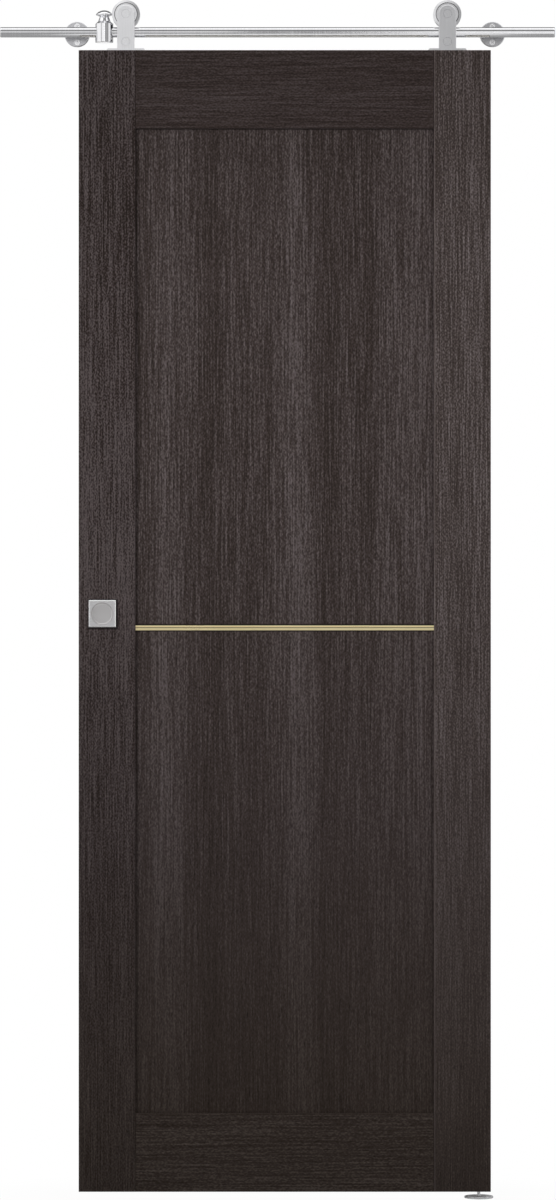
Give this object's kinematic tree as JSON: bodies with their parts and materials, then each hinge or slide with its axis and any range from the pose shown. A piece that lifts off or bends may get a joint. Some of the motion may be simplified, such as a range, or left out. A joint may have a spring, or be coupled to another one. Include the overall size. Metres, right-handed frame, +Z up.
{
  "type": "sliding barn door",
  "caption": "Dark oak sliding barn door with a metal strip, hung on grooved wheels from a round steel wall rail, with a bumper stop, flush pulls and a floor guide.",
  "frame": {"origin": "on the wall plane, midway between the two wall brackets, level with the axis of the rail", "axes": "+Z up, +Y into the wall, +X along the rail, to the right for someone who faces the door's front"},
  "size_m": [1.028, 0.0617, 2.2177],
  "materials": {
    "dark_oak": "stained oak veneer, matt lacquer",
    "dowel_beech": "raw",
    "gold_strip": "gold anodised, brushed",
    "polished_steel": "polished stainless steel",
    "satin_steel": "satin stainless steel",
    "satin_nickel": "satin nickel plate",
    "bearing_steel": "ground",
    "zinc_fasteners": "zinc plate"
  },
  "bodies": {
    "frame": {"rail": "polished_steel", "left_end_cap": "polished_steel", "right_end_cap": "polished_steel", "left_wall_flange": "satin_steel", "right_wall_flange": "satin_steel", "left_post": "satin_steel", "right_post": "satin_steel", "bracket_studs": "zinc_fasteners", "barrel_nuts": "zinc_fasteners", "stop_body": "polished_steel", "stop_knob": "polished_steel", "stop_grub_screw": "zinc_fasteners", "guide_base": "satin_steel", "guide_pin": "satin_steel"},
    "door": {"left_stile": "dark_oak", "right_stile": "dark_oak", "top_crossrail": "dark_oak", "bottom_crossrail": "dark_oak", "corner_dowels": "dowel_beech", "upper_panel": "dark_oak", "lower_panel": "dark_oak", "gold_strip": "gold_strip", "front_pull": "satin_nickel", "rear_pull": "satin_nickel", "left_hanger": "satin_steel", "right_hanger": "satin_steel", "hanger_screws": "zinc_fasteners", "left_axle": "satin_steel", "right_axle": "satin_steel", "left_spacer": "zinc_fasteners", "right_spacer": "zinc_fasteners", "left_axle_screw": "zinc_fasteners", "right_axle_screw": "zinc_fasteners", "left_anti_jump_pin": "satin_steel", "right_anti_jump_pin": "satin_steel", "left_inner_race": "bearing_steel", "right_inner_race": "bearing_steel", "left_balls": "bearing_steel", "right_balls": "bearing_steel"},
    "left_wheel": {"left_wheel": "polished_steel", "left_outer_race": "bearing_steel"},
    "right_wheel": {"right_wheel": "polished_steel", "right_outer_race": "bearing_steel"}
  },
  "joints": [
    {"name": "door_slide", "type": "slide", "parent": "frame", "child": "door", "axis": [1, 0, 0], "range_m": [0, 0.17]},
    {"name": "left_wheel_spin", "type": "hinge", "parent": "door", "child": "left_wheel", "pos_m": [-0.294, -0.035, 0.0327], "axis": [0, 1, 0], "continuous": true},
    {"name": "right_wheel_spin", "type": "hinge", "parent": "door", "child": "right_wheel", "pos_m": [0.301, -0.035, 0.0327], "axis": [0, 1, 0], "continuous": true}
  ],
  "couplings": [
    {"joint": "left_wheel_spin", "follows": "door_slide", "rad_per_m": 43.478},
    {"joint": "right_wheel_spin", "follows": "door_slide", "rad_per_m": 43.478}
  ]
}
